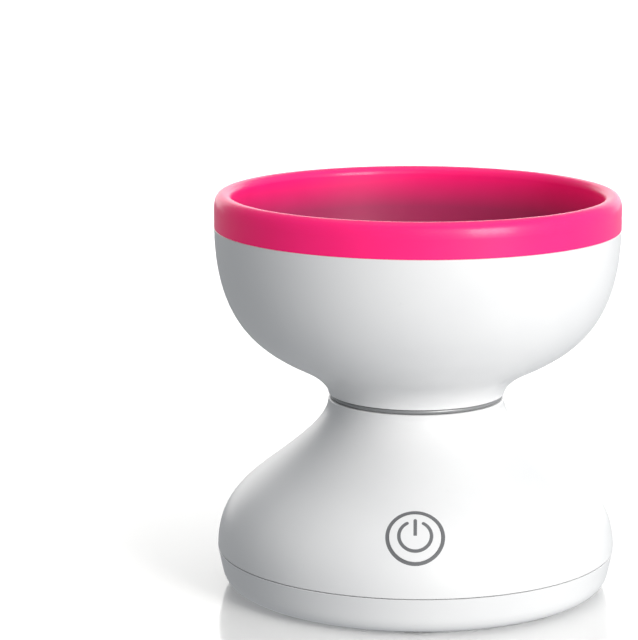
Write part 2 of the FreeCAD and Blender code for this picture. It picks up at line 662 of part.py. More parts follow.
def neck_parts():
    node("neck_ring", turned("ring", [
        (D.ring_in_r, D.dome_top), (D.ring_low_r, D.dome_top),
        [(D.ring_r, D.dome_top), (D.ring_r, D.ring_top), (D.ring_high_r, D.ring_top)],
        (D.ring_in_r, D.ring_top)]))
    bush_h = D.bush_high_z - D.bush_low_z
    node("upper_bush", cut(cylinder(D.bush_r, bush_h, (0, 0, D.bush_low_z)),
                           cylinder(D.bush_bore_r, bush_h, (0, 0, D.bush_low_z))))
    low_z = D.plate_z - D.plate_boss_h
    tube = fused(cylinder(D.bush_r, PLATE_TOP - low_z, (0, 0, low_z)),
                 cylinder(D.bush_r + 1.2, 0.5, (0, 0, PLATE_TOP)))
    node("lower_bush", cut(tube, cylinder(D.bush_bore_r, 8.0, (0, 0, low_z - 1.0))))
    lip_r = D.spindle_r + 0.05
    node("shaft_seal", turned("seal", [
        (lip_r, D.seal_top - 0.6), (lip_r + 0.8, D.seal_top), (D.seal_r, D.seal_top),
        (D.seal_r, D.seal_z), (D.seal_r - 1.2, D.seal_z), (D.seal_r - 1.2, D.seal_top - 1.2),
        (lip_r + 0.6, D.seal_top - 1.2)]))


# ---------------------------------------------------------------- bowl and liner

def bowl_shell():
    inner_r = D.bowl_r - D.wall
    return node("bowl_shell", turned("bowl_wall", [
        (D.neck_r - D.joint_bevel, D.bowl_foot_z),
        (D.neck_r, D.bowl_foot_z + D.joint_bevel),
        [(D.neck_r, D.flare_low_z), (D.flare_mid_r, D.flare_mid_z),
         (D.flare_end_r, D.flare_end_z)],
        [(D.belly_low_r, D.belly_low_z), (D.bowl_r - 0.3, D.belly_high_z),
         (D.bowl_r, D.bowl_step_z - D.joint_bevel)],
        (D.bowl_r - D.joint_bevel, D.bowl_step_z),
        (D.bowl_edge_r, D.bowl_step_z),
        (D.bowl_edge_r, D.bowl_edge_z),
        (inner_r, D.bowl_edge_z),
        (inner_r, D.bowl_in_top_z),
        [(inner_r, D.bowl_in_high_z), (D.bowl_in_mid_r, D.bowl_in_mid_z),
         (D.bowl_in_low_r, D.bowl_in_low_z)],
        [(D.bowl_in_turn_r, D.bowl_floor), (D.bowl_floor_r, D.bowl_floor)],
        (D.hub_recess_r, D.bowl_floor),
        (D.hub_recess_r, D.hub_seat_z),
        (D.spindle_r, D.hub_seat_z),
        (D.spindle_r, D.hub_low_z),
        (D.hub_r, D.hub_low_z),
        (D.hub_r, D.bowl_floor - D.wall),
        (D.neck_r - D.wall - 1.0, D.bowl_floor - D.wall),
        (D.neck_r - D.wall, D.bowl_floor - D.wall - 1.0),
        (D.neck_r - D.wall, D.bowl_foot_z)]))


def silicone_liner():
    outer_r = D.bowl_r - D.wall - D.liner_gap
    inner_r = outer_r - D.liner_wall
    skirt_r = D.bowl_edge_r + D.liner_gap
    crest_r = (D.bowl_r + inner_r) / 2
    return node("silicone_liner", turned("liner", [
        (skirt_r, D.rim_skirt_z),
        (D.bowl_r - D.joint_bevel, D.rim_skirt_z),
        (D.bowl_r, D.rim_skirt_z + D.joint_bevel),
        (D.bowl_r, D.rim_top - 4.0),
        [(D.bowl_r, D.rim_top - 1.2), (D.bowl_r - 0.9, D.rim_top), (crest_r, D.rim_top)],
        [(inner_r + 0.8, D.rim_top), (inner_r, D.rim_top - 0.6), (inner_r, D.rim_top - 2.0)],
        (inner_r, D.bowl_in_top_z),
        [(inner_r, D.liner_in_high_z), (D.liner_in_mid_r, D.liner_in_mid_z),
         (D.liner_in_low_r, D.liner_in_low_z)],
        [(D.liner_in_turn_r, D.liner_floor), (D.bowl_floor_r - 0.3, D.liner_floor)],
        (0, D.liner_floor),
        (0, D.liner_low_z),
        (D.bowl_floor_r, D.liner_low_z),
        [(D.liner_out_turn_r, D.liner_low_z), (D.liner_out_low_r, D.liner_out_low_z)],
        [(D.liner_out_mid_r, D.liner_out_mid_z), (outer_r, D.liner_out_high_z),
         (outer_r, D.bowl_in_top_z)],
        (outer_r, D.bowl_edge_z + D.liner_gap),
        (skirt_r, D.bowl_edge_z + D.liner_gap)]))


def spindle_parts():
    clip_top = D.clip_low_z + D.clip_t
    shaft = turned("shaft", [
        (0, D.spindle_low_z),
        (D.spindle_r - D.bevel, D.spindle_low_z),
        (D.spindle_r, D.spindle_low_z + D.bevel),
        (D.spindle_r, D.clip_low_z),
        (D.clip_groove_r, D.clip_low_z),
        (D.clip_groove_r, clip_top),
        (D.spindle_r, clip_top),
        (D.spindle_r, D.hub_seat_z),
        (0, D.hub_seat_z)])
    bore_l = D.bowl_screw_l + 0.7
    node("spindle", cut(shaft, cylinder(D.screw_r, bore_l, (0, 0, D.hub_seat_z - bore_l))))
    clip = cut(cylinder(D.clip_r, D.clip_t, (0, 0, D.clip_low_z)),
               cylinder(D.clip_groove_r, D.clip_t, (0, 0, D.clip_low_z)),
               block(size(6.0), size(3.4), D.clip_t, (size(5.0), size(0), D.clip_low_z)))
    node("spindle_clip", clip)
    washer_z = PLATE_TOP + D.thrust_gap
    node("thrust_washer", cut(cylinder(D.thrust_r, D.thrust_t, (0, 0, washer_z)),
                              cylinder(D.bush_bore_r, D.thrust_t, (0, 0, washer_z))))
    node("bowl_washer", cut(cylinder(D.washer_r, D.washer_t, (0, 0, D.hub_seat_z)),
                            cylinder(D.screw_r + 0.1, D.washer_t, (0, 0, D.hub_seat_z))))
    screw("bowl_screw", [(size(0), size(0))], D.screw_head_r, D.low_head_h, D.screw_r,
          D.hub_seat_z + D.washer_t, D.hub_seat_z - D.bowl_screw_l, False)


# ---------------------------------------------------------------- gears

def tooth_points(teeth, module, shift, steps=5):
    """Radii of one involute flank with the half angle of the tooth at each."""
    pressure = math.radians(20)
    pitch_r = module * teeth / 2
    base_r = pitch_r * math.cos(pressure)
    tip_r = pitch_r + module * (1 + shift)
    root_r = pitch_r - module * (1.25 - shift)
    half = (math.pi / 2 + 2 * shift * math.tan(pressure)) / teeth
    half -= D.backlash.value / 2 / pitch_r
    low_r = max(base_r, root_r)
    flank = []
    for step in range(steps + 1):
        radius = low_r + (tip_r - low_r) * step / steps
        roll = math.acos(min(1.0, base_r / radius))
        spread = math.tan(pressure) - pressure - math.tan(roll) + roll
        flank.append((radius, half + spread))
    return root_r, flank


def polar(radius, angle):
    return FreeCAD.Vector(radius * math.cos(angle), radius * math.sin(angle), 0)


def gear_blank(teeth, module, shift, height, first):
    """A toothed prism about Z with one tooth pointing along the angle first."""
    root_r, flank = tooth_points(teeth, module, shift)
    tip_r = flank[-1][0]
    pitch = 2 * math.pi / teeth
    edges = []
    for number in range(teeth):
        centre = math.radians(first) + number * pitch
        rising = [polar(radius, centre - angle) for radius, angle in flank]
        falling = [polar(radius, centre + angle) for radius, angle in reversed(flank)]
        foot = flank[0][1]
        root_in = polar(root_r, centre - foot)
        root_out = polar(root_r, centre + foot)
        root_next = polar(root_r, centre + pitch - foot)
        if (rising[0] - root_in).Length > 1e-6:
            edges.append(Part.LineSegment(root_in, rising[0]).toShape())
        for side in (rising, falling):
            curve = Part.BSplineCurve()
            curve.interpolate(side)
            edges.append(curve.toShape())
            if side is rising:
                tip = polar(tip_r, centre)
                edges.append(Part.Arc(rising[-1], tip, falling[0]).toShape())
        if (falling[-1] - root_out).Length > 1e-6:
            edges.append(Part.LineSegment(falling[-1], root_out).toShape())
        valley = polar(root_r, centre + pitch / 2)
        edges.append(Part.Arc(root_out, valley, root_next).toShape())
    face = Part.Face(Part.Wire(edges))
    return face.extrude(FreeCAD.Vector(0, 0, height))


def gear_piece(name, teeth, module, shift, height, first, low, centre):
    """A document object that holds one toothed prism at its place."""
    item = doc.addObject("Part::Feature", name)
    item.Shape = gear_blank(int(teeth.value), module.value, shift, height.value, first)
    return place(item, (centre[0], centre[1], low))


def gears():
    shift = D.profile_shift.value
    toward_idler = D.idler_angle.value
    toward_motor = D.motor_angle.value
    axis = (size(0), size(0))
    slow = gear_piece("output_teeth", D.output_teeth, D.slow_module, -shift, D.slow_gear_h,
                      toward_idler, D.slow_gear_z, axis)
    hub_low = PLATE_TOP + 1.5
    hub = cylinder(D.output_hub_r, D.slow_gear_z - hub_low, (0, 0, hub_low))
    bore = cylinder(D.spindle_r, 10.0, (0, 0, hub_low - 1.0))
    windows = [cylinder(D.output_window_r, D.slow_gear_h, (x, y, D.slow_gear_z))
               for x, y in around(D.output_window_ring, range(0, 360, 60))]
    node("output_gear", cut(fused(slow, hub), bore, *windows))

    half_pitch = 180 / D.idler_small_teeth.value
    small = gear_piece("idler_small", D.idler_small_teeth, D.slow_module, shift, D.slow_gear_h,
                       toward_idler + 180 + half_pitch, D.slow_gear_z, IDLER)
    large = gear_piece("idler_large", D.idler_large_teeth, D.fast_module, -shift,
                       D.fast_gear_h, toward_motor, D.fast_gear_z, IDLER)
    web_z = D.fast_gear_z + D.fast_gear_h
    web = cylinder(D.idler_web_r, D.slow_gear_z - web_z, (IDLER[0], IDLER[1], web_z))
    bore = cylinder(D.pin_r + D.pin_play, 12.0, (IDLER[0], IDLER[1], D.fast_gear_z - 1.0))
    windows = [cylinder(D.idler_window_r, D.fast_gear_h,
                        (IDLER[0] + x, IDLER[1] + y, D.fast_gear_z))
               for x, y in around(D.idler_window_ring, range(30, 390, 60))]
    node("idler_gear", cut(fused(small, large, web), bore, *windows))

    half_pitch = 180 / D.pinion_teeth.value
    low = PLATE_TOP + D.pinion_gap
    pinion = gear_piece("pinion_blank", D.pinion_teeth, D.fast_module, shift, D.pinion_h,
                        toward_motor + 180 + half_pitch, low, MOTOR)
    node("motor_pinion", cut(pinion, on_motor(D.pin_r, D.pinion_h, low)))


def gear_housing():
    plate = fused(cylinder(D.plate_r, D.plate_t, (0, 0, D.plate_z)),
                  cylinder(D.plate_boss_r, D.plate_boss_h, (0, 0, D.plate_z - D.plate_boss_h)))
    low = D.plate_z - 3.0
    through = D.plate_t + 4.0
    removed = [cylinder(D.bush_r, through, (0, 0, low)),
               cylinder(D.motor_hole_r, through, (MOTOR[0], MOTOR[1], low)),
               cylinder(D.pin_r, through, (IDLER[0], IDLER[1], low)),
               block(size(60.0), size(10.0), size(4.0),
                     (size(0), -D.plate_front - 5.0, D.plate_z - 1.0))]
    removed += [cylinder(D.small_screw_r, through, (x, y, low))
                for x, y in PLATE_POSTS + GEAR_POSTS]
    removed += [cylinder(D.pilot_r, through, (x, y, low)) for x, y in MOTOR_SCREWS]
    node("gear_plate", cut(plate, *removed))

    posts = [cylinder(D.gear_post_r, D.gear_cover_z - PLATE_TOP, (x, y, PLATE_TOP))
             for x, y in GEAR_POSTS]
    cover = fused(cylinder(D.gear_cover_r, D.plate_t, (0, 0, D.gear_cover_z)), *posts)
    removed = [cylinder(D.cover_hole_r, 4.0, (0, 0, D.gear_cover_z - 1.0)),
               cylinder(D.pin_r, 4.0, (IDLER[0], IDLER[1], D.gear_cover_z - 1.0))]
    removed += [cylinder(D.small_screw_r, 7.0, (x, y, PLATE_TOP)) for x, y in GEAR_POSTS]
    node("gear_cover", cut(cover, *removed))

    node("idler_pin", cylinder(D.pin_r, COVER_TOP - D.plate_z, (IDLER[0], IDLER[1], D.plate_z)))
    head = (D.small_head_r, D.small_head_h, D.small_screw_r, D.plate_z)
    screw("gear_cover_screws", GEAR_POSTS, *head, PLATE_TOP + 6.5, True)
    screw("gear_plate_screws", PLATE_POSTS, *head, PLATE_TOP + 3.5, True)


# ---------------------------------------------------------------- motor

def flat_sided(radius, flat, height, low):
    """A cylinder with two flats, on the motor's axis."""
    return common(cylinder(radius, height, (MOTOR[0], MOTOR[1], low)),
                  block(flat, radius * 2, height, (MOTOR[0], MOTOR[1], low)))


def on_motor(radius, height, low):
    return cylinder(radius, height, (MOTOR[0], MOTOR[1], low))


def terminal_bars():
    """The two terminals, in the end bell's rear edge."""
    return [block(D.terminal_w, D.terminal_l, D.terminal_t,
                  (MOTOR[0] + side * D.terminal_x, MOTOR[1] + 9.0, D.end_bell_z + 0.6))
            for side in (1, -1)]


def motor():
    can_h = D.plate_z - D.motor_can_z
    hollow = flat_sided(D.motor_r - D.can_t, D.motor_flat - 2 * D.can_t, can_h - D.can_t,
                        D.motor_can_z)
    can = fused(flat_sided(D.motor_r, D.motor_flat, can_h, D.motor_can_z),
                on_motor(D.nose_r, D.nose_h, D.plate_z))
    holes = [cylinder(D.pilot_r, 3.0, (x, y, D.plate_z - 2.0)) for x, y in MOTOR_SCREWS]
    shaft_hole_r = D.pin_r + 0.02
    node("motor_can", cut(can, hollow, on_motor(shaft_hole_r, 4.0, D.plate_z - 2.0), *holes))

    node("motor_terminals", fused(*terminal_bars()))
    bell = fused(flat_sided(D.motor_r, D.motor_flat, D.motor_can_z - D.end_bell_z, D.end_bell_z),
                 on_motor(D.nose_r - 0.1, 0.5, D.end_bell_z - 0.5))
    node("motor_end_bell", cut(bell, on_motor(shaft_hole_r, 4.0, D.end_bell_z - 1.0),
                               *terminal_bars()))

    magnet_z = D.motor_can_z + 3.0
    middle = (MOTOR[0], MOTOR[1], magnet_z)
    arcs = common(on_motor(D.motor_r - D.can_t, D.magnet_h, magnet_z),
                  block(size(13.0), size(22.0), D.magnet_h, middle))
    gap = block(size(14.0), size(7.0), D.magnet_h, middle)
    node("motor_magnets", cut(arcs, on_motor(D.magnet_in_r, D.magnet_h, magnet_z), gap))
    screw("motor_screws", MOTOR_SCREWS, size(1.9), size(0.8), D.pilot_r, PLATE_TOP,
          D.plate_z - 1.6, False)


def rotor():
    node("motor_shaft", on_motor(D.pin_r, D.shaft_l, D.end_bell_z - 0.3))
    core_h = D.core_h
    core_z = D.motor_can_z + 5.5
    angles = (30, 150, 270)
    slots = [(MOTOR[0] + x, MOTOR[1] + y) for x, y in around(D.core_slot_ring, angles)]
    mouths = [block(size(4.0), size(0.8), core_h,
                    (MOTOR[0] + x, MOTOR[1] + y, core_z), angle)
              for (x, y), angle in zip(around(D.coil_end_r, angles), angles)]
    slot_holes = [cylinder(D.core_slot_r, core_h, (x, y, core_z)) for x, y in slots]
    node("armature_core", cut(on_motor(D.armature_r, core_h, core_z),
                              on_motor(D.pin_r, core_h, core_z), *slot_holes, *mouths))
    coils = [cylinder(D.core_slot_r - 0.1, core_h, (x, y, core_z)) for x, y in slots]
    ends = [cut(on_motor(D.coil_end_r, D.coil_end_h, z), on_motor(1.6, D.coil_end_h, z))
            for z in (core_z - D.coil_end_h, core_z + core_h)]
    node("armature_windings", fused(*coils, *ends))
    comm_z = D.motor_can_z + 0.6
    comm_h = D.commutator_h
    angles = (90, 210, 330)
    slits = [block(size(2.0), size(0.3), comm_h, (MOTOR[0] + x, MOTOR[1] + y, comm_z), angle)
             for (x, y), angle in zip(around(size(2.2), angles), angles)]
    node("commutator", cut(on_motor(D.commutator_r, comm_h, comm_z),
                           on_motor(D.pin_r, comm_h, comm_z), *slits))


# ---------------------------------------------------------------- battery and boards

def battery():
    half = D.cell_l / 2
    can = cylinder(D.cell_r, D.cell_l, (-half, D.cell_y, D.cell_z), ALONG_X)
    nub = cylinder(D.cell_nub_r, D.cell_nub_h, (half, D.cell_y, D.cell_z), ALONG_X)
    node("battery_cell", fused(can, nub))
    tab_z = D.cell_z - 5.0
    tabs = [block(D.tab_t, D.tab_w, D.tab_h, (x, D.cell_y, tab_z))
            for x in (half + D.cell_nub_h + D.tab_t / 2, -half - D.tab_t / 2)]
    node("battery_tabs", fused(*tabs))

    outer_r = D.cell_r + D.strap_t
    foot_z = D.floor_z + D.strap_post_h
    arch = cylinder(outer_r, D.strap_w, (-D.strap_w / 2, D.cell_y, D.cell_z), ALONG_X)
    legs = block(D.strap_w, outer_r * 2, D.cell_z - foot_z, (size(0), D.cell_y, foot_z))
    feet = block(D.strap_w, D.strap_foot * 2 + 6.0, D.strap_t, (size(0), D.cell_y, foot_z))
    bay = block(D.strap_w, D.cell_r * 2, D.cell_z, (size(0), D.cell_y, size(0)))
    hole = cylinder(D.cell_r, D.strap_w, (-D.strap_w / 2, D.cell_y, D.cell_z), ALONG_X)
    holes = [cylinder(D.pilot_r, D.strap_t, (x, y, foot_z)) for x, y in STRAP_POSTS]
    node("battery_strap", cut(fused(arch, legs, feet), bay, hole, *holes))
    screw("strap_screws", STRAP_POSTS, size(1.9), D.low_head_h, D.pilot_r,
          foot_z + D.strap_t, D.floor_z - 1.0, False)


def main_board():
    middle_y = D.board_y + D.board_l / 2
    board = block(D.board_w, D.board_l, D.board_t, (size(0), middle_y, D.board_z))
    holes = [cylinder(D.pilot_r, D.board_t, (x, y, D.board_z)) for x, y in BOARD_POSTS]
    node("main_board", cut(board, *holes))
    top = D.board_z + D.board_t
    screw("board_screws", BOARD_POSTS, size(1.8), D.low_head_h, D.pilot_r, top,
          D.board_z - 5.0, False)
    node("board_chips", fused(
        block(size(5.0), size(5.0), size(1.0), (size(0), size(38.0), top)),
        block(size(4.0), size(3.2), size(0.9), (size(6.5), size(39.6), top))))
    coil = cylinder(2.6, 2.8, (-6.6, 38.2, top))
    node("charge_inductor", coil)
    node("board_capacitors", fused(*[
        block(size(1.6), size(0.8), size(0.8), (size(x), size(y), top))
        for x, y in ((-10.5, 36.5), (-10.5, 38.5), (10.4, 37.8), (10.4, 39.6), (0.0, 34.3))]))
    node("board_connectors", fused(*[
        block(D.plug_w, D.plug_l, D.plug_h, (size(x), size(y), top))
        for x, y in (MOTOR_PLUG, SWITCH_PLUG, BATTERY_PLUG)]))

    length = D.inlet_l
    low_y = D.inlet_mouth_y - length
    outside = block(D.inlet_w, length, D.inlet_h, (size(0), low_y + length / 2, top))
    depth = length - D.inlet_back
    inside = block(D.inlet_w - 2 * D.inlet_sheet, depth, D.inlet_h - 2 * D.inlet_sheet,
                   (size(0), low_y + D.inlet_back + depth / 2, top + D.inlet_sheet))
    shell = doc.addObject("Part::Fillet", "inlet_can")
    shell.Base = outside
    doc.recompute()
    corners = [number for number, edge in enumerate(outside.Shape.Edges, start=1)
               if abs(edge.tangentAt(edge.FirstParameter).y) > 0.99]
    corner_r = D.inlet_corner_r.value
    shell.Edges = [(number, corner_r, corner_r) for number in corners]
    node("usb_receptacle", cut(shell, inside))
    root_l = size(1.6)
    tongue_l = size(4.4)
    tongue_t = size(0.7)
    root_y = low_y + D.inlet_back
    node("usb_tongue", fused(
        block(size(7.0), root_l, D.inlet_h - 2 * D.inlet_sheet,
              (size(0), root_y + root_l / 2, top + D.inlet_sheet)),
        block(size(6.7), tongue_l, tongue_t,
              (size(0), root_y + root_l + tongue_l / 2,
               top + D.inlet_h / 2 - tongue_t / 2))))


def rounded_path(points, largest):
    """A wire of straight runs joined by tangent arcs, and the radii of those arcs."""
    vectors = [FreeCAD.Vector(*point) for point in points]
    edges = []
    radii = []
    here = vectors[0]
    for before, corner, after in zip(vectors, vectors[1:], vectors[2:]):
        back = (before - corner).normalize()
        ahead = (after - corner).normalize()
        turn = math.pi - back.getAngle(ahead)
        shorter = min((before - corner).Length, (after - corner).Length)
        radius = min(largest, 0.45 * shorter / math.tan(turn / 2))
        setback = radius * math.tan(turn / 2)
        first = corner + back * setback
        last = corner + ahead * setback
        bisector = (back + ahead).normalize()
        middle = corner + bisector * (radius / math.cos(turn / 2) - radius)
        edges.append(Part.LineSegment(here, first).toShape())
        edges.append(Part.Arc(first, middle, last).toShape())
        radii.append(radius)
        here = last
    edges.append(Part.LineSegment(here, vectors[-1]).toShape())
    return Part.Wire(edges), radii


def lead(name, *routes, largest=5.0):
    """Insulated leads, each along its own route, in one node."""
    radius = D.lead_r.value
    solids = []
    for points in routes:
        path, radii = rounded_path(points, largest)
        start = FreeCAD.Vector(*points[0])
        heading = FreeCAD.Vector(*points[1]) - start
        section = Part.Wire(Part.Circle(start, heading, radius).toShape())
        tube = path.makePipeShell([section], True, False)
        share = tube.Volume / (math.pi * radius ** 2 * path.Length)
        if abs(share - 1) > 0.01:
            raise RuntimeError(f"{name}: tube volume is {share:.3f} of section times length")
        print(f"{name}: {path.Length:.1f} mm long, radii",
              ", ".join(f"{value:.1f}" for value in radii))
        solids.append(tube)
    item = doc.addObject("Part::Feature", name)
    item.Shape = solids[0] if len(solids) == 1 else Part.makeCompound(solids)
    return node(name, item)


def leads():
    high = D.lead_z.value
    plug_z = (D.board_z + D.board_t + D.plug_h).value
    terminal_z = D.end_bell_z.value + 1.1
    lane_y = MOTOR[1].value + 11.4
    for name, side in (("motor_lead_red", -1), ("motor_lead_black", 1)):
        x = MOTOR[0].value + side * 3.0
        plug_x = MOTOR_PLUG[0] + side
        lead(name, [(x, lane_y, terminal_z), (x, lane_y, high), (plug_x, MOTOR_PLUG[1], high),
                    (plug_x, MOTOR_PLUG[1], plug_z)])

    cell_y = D.cell_y.value
    tab_z = D.cell_z.value + 4.8
    cell_end = D.cell_l.value / 2
    red_x, black_x = BATTERY_PLUG[0] + 1.0, BATTERY_PLUG[0] - 1.0
    plug_y = BATTERY_PLUG[1]
    lead("battery_lead_red", [
        (cell_end + 0.8, cell_y, tab_z), (cell_end + 4.0, cell_y, tab_z),
        (cell_end + 4.0, cell_y, high), (red_x, plug_y, high), (red_x, plug_y, plug_z)])
    lead("battery_lead_black", [
        (-cell_end - 0.2, cell_y, tab_z), (-cell_end - 3.4, cell_y, tab_z),
        (-cell_end - 3.4, cell_y, high), (-20.0, plug_y, high), (black_x, plug_y, high),
        (black_x, plug_y, plug_z)])

    depth = D.switch_face.value + D.board_t.value
    routes = []
    for x, bend_x, plug_x in ((2.6, 12.0, SWITCH_PLUG[0] - 1), (5.0, 14.4, SWITCH_PLUG[0] + 1)):
        pad = BUTTON_FRAME.multVec(FreeCAD.Vector(x, -2.5, -depth))
        leave = BUTTON_FRAME.multVec(FreeCAD.Vector(x, -2.5, -depth - 5.0))
        routes.append([
            tuple(pad), tuple(leave), (bend_x, -18.0, 12.5), (bend_x, 2.0, 14.0),
            (bend_x, 4.0, high), (plug_x, SWITCH_PLUG[1], high),
            (plug_x, SWITCH_PLUG[1], plug_z)])
    lead("switch_leads", *routes)


# ---------------------------------------------------------------- button

def symbol_form(low, high):
    """The power symbol as an upright prism in the button's own frame."""
    radius = D.symbol_r
    half = D.symbol_line / 2
    gap = D.symbol_gap.value / 2
    height = high - low
    rise = D.symbol_rise
    ring = cut(at_button(cylinder(radius + half, height, (0, rise, low), UP,
                                  360 - D.symbol_gap.value, 90 + gap)),
               at_button(cylinder(radius - half, height, (0, rise, low))))
    tips = [at_button(cylinder(half, height, (x, y + rise, low)))
            for x, y in around(radius, (90 - gap, 90 + gap))]
    bar = at_button(block(D.symbol_line, D.bar_high - D.bar_low, height,
                          (size(0), (D.bar_high + D.bar_low) / 2, size(low))))
    bar_tip = at_button(cylinder(half, height, (0, D.bar_high, low)))
    return fused(fused(ring, *tips), fused(bar, bar_tip))


def button(form):
    ring_z = -D.button_ring_depth
    flange_z = ring_z - D.flange_t
    ring_l = D.button_ring_depth + 3.6
    ring = cut(at_button(cylinder(D.button_hole_r, ring_l, (0, 0, ring_z))),
               at_button(cylinder(D.button_ring_in_r, ring_l, (0, 0, ring_z))))
    flange = cut(at_button(cylinder(D.flange_r, D.flange_t, (0, 0, flange_z))),
                 at_button(cylinder(D.button_ring_in_r, D.flange_t, (0, 0, flange_z))))
    node("button_ring", fused(common(ring, form), flange))

    plunger_top = D.switch_h + 0.8 - D.switch_face
    cap_z = -D.button_cap_depth
    disc = common(at_button(cylinder(D.button_cap_r, 6.0, (0, 0, cap_z))), form)
    stem = at_button(cylinder(D.button_stem_r, cap_z - plunger_top, (0, 0, plunger_top)))
    inlay_low = -D.symbol_depth.value - 0.6
    inlay_high = 3.0
    node("button_cap", cut(fused(disc, stem), symbol_form(inlay_low, inlay_high)))
    node("power_symbol", common(symbol_form(inlay_low, inlay_high), form))

    body_low = -D.switch_face
    body_top = body_low + D.switch_h
    body = at_button(block(D.switch_w, D.switch_w, D.switch_h, (size(0), size(0), body_low)))
    well = at_button(cylinder(D.plunger_r + 0.05, D.plunger_l, (0, 0, body_top - D.plunger_l)))
    node("switch_body", cut(body, well))
    node("switch_plunger", at_button(
        cylinder(D.plunger_r, D.plunger_l, (0, 0, plunger_top - D.plunger_l))))
    low = body_low - D.board_t
    shank_r = D.switch_screw_r
    board = at_button(block(D.switch_board_w, D.switch_board_h, D.board_t,
                            (size(0), size(0), low)))
    screw_holes = [at_button(cylinder(shank_r, D.board_t, (x, y, low))) for x, y in SWITCH_POSTS]
    node("switch_board", cut(board, *screw_holes))
    screws = [fused(at_button(cylinder(2 * shank_r, 1.0, (x, y, low - 1.0))),
                    at_button(cylinder(shank_r, D.board_t + 3.5, (x, y, low))))
              for x, y in SWITCH_POSTS]
    node("switch_screws", fused(*screws))


# ---------------------------------------------------------------- assembly

def build():
    form = dome_form()
    base_shell()
    bottom_cover()
    rubber_feet()
    screw("cover_screws", COVER_POSTS, D.screw_head_r, size(2.0), D.screw_r, D.screw_head_z,
          D.screw_tip_z, True)
    neck_parts()
    bowl_shell()
    silicone_liner()
    spindle_parts()
    gears()
    gear_housing()
    motor()
    rotor()
    battery()
    main_board()
    leads()
    button(form)
    doc.recompute()


def check():
    """Stops before anything is written if an object failed or a shape is unusable."""
    for item in doc.Objects:
        if "Invalid" in item.State or "Error" in item.State:
            raise RuntimeError(f"{item.Name} ({item.Label}) failed: {item.State}")
    for name, item in NODES.items():
        shape = item.Shape
        if shape.isNull() or not shape.isValid() or not shape.Solids:
            raise RuntimeError(f"{name} has no valid solid")
        print(f"{name}: {len(shape.Solids)} solid(s), {shape.Volume:.1f} mm3")


def export():
    os.makedirs("parts", exist_ok=True)
    for name, item in NODES.items():
        item.Shape.exportStep(f"parts/{name}.step")


build()
check()
export()
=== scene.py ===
import json
import math

import bpy
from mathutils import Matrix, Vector
from mathutils.bvhtree import BVHTree


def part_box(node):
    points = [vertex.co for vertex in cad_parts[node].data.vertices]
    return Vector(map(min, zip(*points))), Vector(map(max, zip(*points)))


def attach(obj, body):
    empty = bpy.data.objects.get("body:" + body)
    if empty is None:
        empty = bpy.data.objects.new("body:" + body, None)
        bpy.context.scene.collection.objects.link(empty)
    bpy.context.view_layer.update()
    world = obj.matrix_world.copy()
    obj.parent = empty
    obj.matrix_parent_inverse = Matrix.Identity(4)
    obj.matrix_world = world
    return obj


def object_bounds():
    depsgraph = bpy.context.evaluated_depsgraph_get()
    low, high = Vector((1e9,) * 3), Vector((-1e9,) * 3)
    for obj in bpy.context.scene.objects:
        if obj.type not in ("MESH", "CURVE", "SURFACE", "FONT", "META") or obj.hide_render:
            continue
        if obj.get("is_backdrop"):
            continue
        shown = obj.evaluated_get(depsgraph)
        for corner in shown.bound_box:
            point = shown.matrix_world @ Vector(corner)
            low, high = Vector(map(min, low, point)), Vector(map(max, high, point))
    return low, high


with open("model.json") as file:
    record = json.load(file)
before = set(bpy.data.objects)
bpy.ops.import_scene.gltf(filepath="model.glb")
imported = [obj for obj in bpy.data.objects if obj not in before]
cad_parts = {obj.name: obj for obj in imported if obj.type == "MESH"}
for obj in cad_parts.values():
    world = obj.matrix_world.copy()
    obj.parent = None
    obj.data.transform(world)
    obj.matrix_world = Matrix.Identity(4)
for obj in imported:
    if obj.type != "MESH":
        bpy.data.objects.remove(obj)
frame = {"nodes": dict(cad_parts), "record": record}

# A waisted white make-up brush cleaner with a pink silicone liner, on a pale studio floor.
# Everything is in metres in the frame's own axes: +Z up, the button towards -Y.

CAD_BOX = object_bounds()
NODES = frame["nodes"]
MM = 0.001


# ---------------------------------------------------------------- node helpers

GRID = 220      # spacing of the node editor's grid places


def add(tree, kind, place, **values):
    """A shader node at a grid place, with its input sockets set by name."""
    node = tree.nodes.new(kind)
    node.location = (place[0] * GRID, place[1] * GRID)
    for name, value in values.items():
        node.inputs[name.replace("_", " ")].default_value = value
    return node


def start_material(name):
    """An empty material; returns it with its tree, its shader and its object coordinates."""
    material = bpy.data.materials.new(name)
    material.use_nodes = True
    tree = material.node_tree
    tree.nodes.clear()
    output = add(tree, "ShaderNodeOutputMaterial", (4, 0))
    shader = add(tree, "ShaderNodeBsdfPrincipled", (3, 0))
    coords = add(tree, "ShaderNodeTexCoord", (-4, 0))
    tree.links.new(shader.outputs["BSDF"], output.inputs["Surface"])
    return material, tree, shader, coords.outputs["Object"]


def noise(tree, vector, place, scale, detail=3.0, roughness=0.55):
    """A noise field; scale is in features per metre."""
    node = add(tree, "ShaderNodeTexNoise", place, Scale=scale, Detail=detail,
               Roughness=roughness)
    tree.links.new(vector, node.inputs["Vector"])
    return node.outputs["Fac"]


def ramp(tree, factor, place, low, high, start=0.3, end=0.7):
    """Colour from low to high as the factor goes from start to end."""
    node = add(tree, "ShaderNodeValToRGB", place)
    first, last = node.color_ramp.elements
    first.position, last.position = start, end
    first.color = (*low, 1.0)
    last.color = (*high, 1.0)
    tree.links.new(factor, node.inputs["Fac"])
    return node.outputs["Color"]


def remap(tree, factor, place, low, high, start=0.3, end=0.7):
    """A number from low to high as the factor goes from start to end."""
    node = add(tree, "ShaderNodeMapRange", place, **{
        "From Min": start, "From Max": end, "To Min": low, "To Max": high})
    tree.links.new(factor, node.inputs["Value"])
    return node.outputs["Result"]


